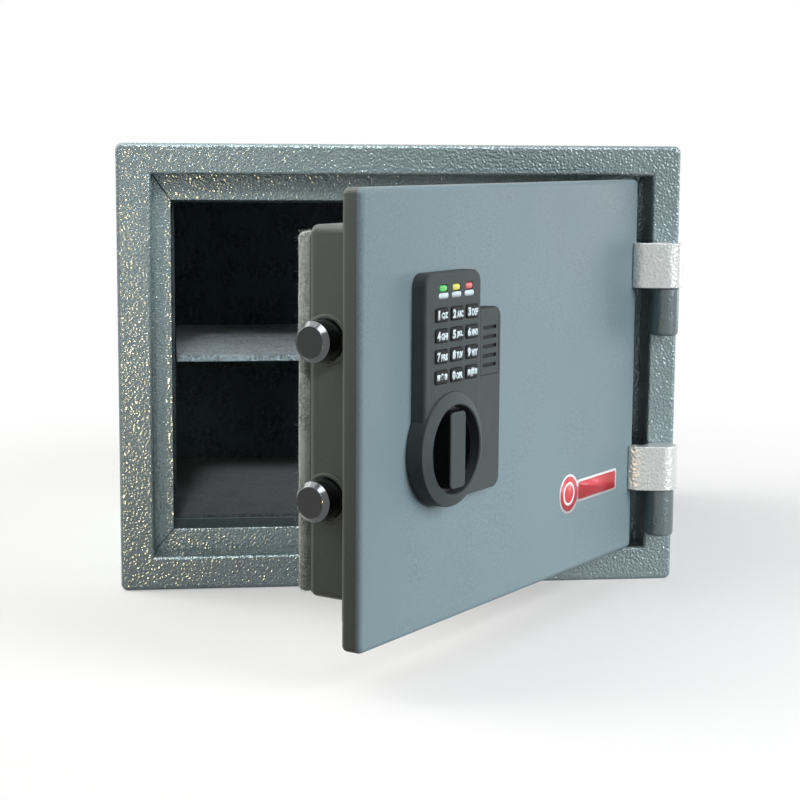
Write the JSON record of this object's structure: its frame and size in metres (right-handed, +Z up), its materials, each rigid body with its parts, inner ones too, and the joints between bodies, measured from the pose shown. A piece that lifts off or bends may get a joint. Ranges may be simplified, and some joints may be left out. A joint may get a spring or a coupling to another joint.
{
  "type": "office safe",
  "caption": "Small double-walled steel office safe with a swinging door, keypad lock, turning knob, two sliding round bolts and a felt-lined cavity with a shelf.",
  "frame": {"origin": "middle of the cabinet's bottom face", "axes": "+X to the right seen from the front, the front faces -Y, +Z up"},
  "size_m": [0.412, 0.646, 0.325],
  "materials": {
    "hammertone_paint": "grey-green hammertone enamel with small bright dimples",
    "door_paint": "semi-gloss grey-green enamel with a fine texture",
    "bare_steel": "zinc-plated sheet",
    "chrome": "polished",
    "mineral_fill": "pale lightweight gypsum concrete",
    "dark_felt": "near-black felt",
    "grey_felt": "blue-grey felt",
    "pale_felt": "light warm-grey furry felt",
    "seal_rubber": "matte foam strip",
    "lock_plastic": "satin dark grey moulding",
    "key_plastic": "near-black keys with pale legends",
    "board_laminate": "green solder mask",
    "cell_wrap": "printed sleeve left plain",
    "lamp_green": "translucent lens",
    "lamp_yellow": "translucent lens",
    "lamp_red": "translucent lens"
  },
  "bodies": {
    "cabinet": {"outer_shell": "hammertone_paint", "back_panel": "hammertone_paint", "jamb_bottom": "hammertone_paint", "jamb_right": "hammertone_paint", "jamb_top": "hammertone_paint", "jamb_left": "hammertone_paint", "cabinet_insulation": "mineral_fill", "inner_liner": "bare_steel", "felt_floor": "dark_felt", "felt_ceiling": "dark_felt", "felt_walls": "dark_felt", "shelf_rail_left": "bare_steel", "shelf_rail_right": "bare_steel", "shelf_board": "bare_steel", "shelf_felt": "grey_felt", "hinge_barrel_lower": "hammertone_paint", "hinge_pin_lower": "bare_steel", "hinge_barrel_upper": "hammertone_paint", "hinge_pin_upper": "bare_steel"},
    "door": {"door_pan": "door_paint", "door_inner_box": "hammertone_paint", "door_insulation": "mineral_fill", "door_back_plate": "bare_steel", "door_back_felt": "pale_felt", "door_seal": "seal_rubber", "hinge_strap_lower": "hammertone_paint", "hinge_strap_upper": "hammertone_paint", "fixed_bolt_upper": "bare_steel", "fixed_bolt_lower": "bare_steel", "bolt_guide": "bare_steel", "solenoid_body": "bare_steel", "plunger_spring": "bare_steel", "lock_housing": "lock_plastic", "circuit_board": "board_laminate", "led_green": "lamp_green", "led_yellow": "lamp_yellow", "led_red": "lamp_red", "keypad_mat": "seal_rubber", "battery_tray": "key_plastic", "battery_cells": "cell_wrap"},
    "knob": {"knob_dial": "lock_plastic", "knob_spindle": "bare_steel", "drive_cam": "bare_steel"},
    "bolts": {"bolt_carriage": "bare_steel", "bolt_upper": "chrome", "bolt_lower": "chrome"},
    "plunger": {"solenoid_plunger": "bare_steel"},
    "cover": {"battery_cover": "lock_plastic"},
    "key_1": {"key_1": "key_plastic"},
    "key_2": {"key_2": "key_plastic"},
    "key_3": {"key_3": "key_plastic"},
    "key_4": {"key_4": "key_plastic"},
    "key_5": {"key_5": "key_plastic"},
    "key_6": {"key_6": "key_plastic"},
    "key_7": {"key_7": "key_plastic"},
    "key_8": {"key_8": "key_plastic"},
    "key_9": {"key_9": "key_plastic"},
    "key_star": {"key_star": "key_plastic"},
    "key_0": {"key_0": "key_plastic"},
    "key_hash": {"key_hash": "key_plastic"}
  },
  "joints": [
    {"name": "door_swing", "type": "hinge", "parent": "cabinet", "child": "door", "pos_m": [0.193, -0.1922, 0.15], "axis": [0, 0, 1], "range_deg": [-50, 65]},
    {"name": "knob_turn", "type": "hinge", "parent": "door", "child": "knob", "pos_m": [-0.006, -0.40183, 0.14], "axis": [-0.766, 0.6428, 0], "range_deg": [0, 90]},
    {"name": "bolt_slide", "type": "slide", "parent": "door", "child": "bolts", "axis": [0.6428, 0.766, 0], "range_m": [0, 0.01753]},
    {"name": "plunger_slide", "type": "slide", "parent": "door", "child": "plunger", "axis": [0, 0, 1], "range_m": [0, 0.006], "deforming": ["plunger_spring"]},
    {"name": "cover_slide", "type": "slide", "parent": "door", "child": "cover", "axis": [0, 0, 1], "range_m": [0, 0.025]},
    {"name": "key_1_press", "type": "slide", "parent": "door", "child": "key_1", "axis": [-0.766, 0.6428, 0], "range_m": [0, 0.0012], "stiffness_N_per_m": 800, "deforming": ["keypad_mat"]},
    {"name": "key_2_press", "type": "slide", "parent": "door", "child": "key_2", "axis": [-0.766, 0.6428, 0], "range_m": [0, 0.0012], "stiffness_N_per_m": 800, "deforming": ["keypad_mat"]},
    {"name": "key_3_press", "type": "slide", "parent": "door", "child": "key_3", "axis": [-0.766, 0.6428, 0], "range_m": [0, 0.0012], "stiffness_N_per_m": 800, "deforming": ["keypad_mat"]},
    {"name": "key_4_press", "type": "slide", "parent": "door", "child": "key_4", "axis": [-0.766, 0.6428, 0], "range_m": [0, 0.0012], "stiffness_N_per_m": 800, "deforming": ["keypad_mat"]},
    {"name": "key_5_press", "type": "slide", "parent": "door", "child": "key_5", "axis": [-0.766, 0.6428, 0], "range_m": [0, 0.0012], "stiffness_N_per_m": 800, "deforming": ["keypad_mat"]},
    {"name": "key_6_press", "type": "slide", "parent": "door", "child": "key_6", "axis": [-0.766, 0.6428, 0], "range_m": [0, 0.0012], "stiffness_N_per_m": 800, "deforming": ["keypad_mat"]},
    {"name": "key_7_press", "type": "slide", "parent": "door", "child": "key_7", "axis": [-0.766, 0.6428, 0], "range_m": [0, 0.0012], "stiffness_N_per_m": 800, "deforming": ["keypad_mat"]},
    {"name": "key_8_press", "type": "slide", "parent": "door", "child": "key_8", "axis": [-0.766, 0.6428, 0], "range_m": [0, 0.0012], "stiffness_N_per_m": 800, "deforming": ["keypad_mat"]},
    {"name": "key_9_press", "type": "slide", "parent": "door", "child": "key_9", "axis": [-0.766, 0.6428, 0], "range_m": [0, 0.0012], "stiffness_N_per_m": 800, "deforming": ["keypad_mat"]},
    {"name": "key_star_press", "type": "slide", "parent": "door", "child": "key_star", "axis": [-0.766, 0.6428, 0], "range_m": [0, 0.0012], "stiffness_N_per_m": 800, "deforming": ["keypad_mat"]},
    {"name": "key_0_press", "type": "slide", "parent": "door", "child": "key_0", "axis": [-0.766, 0.6428, 0], "range_m": [0, 0.0012], "stiffness_N_per_m": 800, "deforming": ["keypad_mat"]},
    {"name": "key_hash_press", "type": "slide", "parent": "door", "child": "key_hash", "axis": [-0.766, 0.6428, 0], "range_m": [0, 0.0012], "stiffness_N_per_m": 800, "deforming": ["keypad_mat"]}
  ],
  "couplings": [
    {"joint": "knob_turn", "follows": "bolt_slide", "rad_per_m": 89.573}
  ]
}
